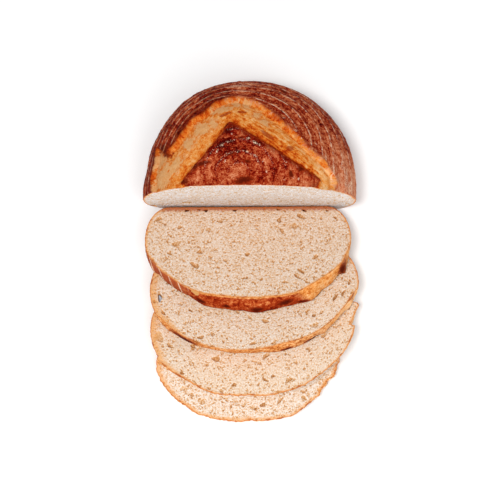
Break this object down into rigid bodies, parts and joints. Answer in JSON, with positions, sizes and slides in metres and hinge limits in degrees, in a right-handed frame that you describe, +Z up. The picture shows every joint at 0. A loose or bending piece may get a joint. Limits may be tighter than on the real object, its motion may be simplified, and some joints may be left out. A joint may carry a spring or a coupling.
{
  "type": "sliced sourdough loaf",
  "caption": "Round sourdough loaf cut across its middle: the rear half stands on its flat base, and slices from its front lie shingled before the cut face.",
  "frame": {"origin": "on the table, under the middle of the row's bounding box", "axes": "+Z up, +Y from the slices towards the uncut end of the half loaf, X across the loaf"},
  "size_m": [0.2084, 0.3288, 0.1061],
  "materials": {
    "crust": "satin",
    "crumb": "matte"
  },
  "bodies": {
    "root": {"half_loaf": "crust", "slice_1": "crumb", "slice_2": "crumb", "slice_3": "crumb", "slice_4": "crumb"}
  },
  "joints": []
}
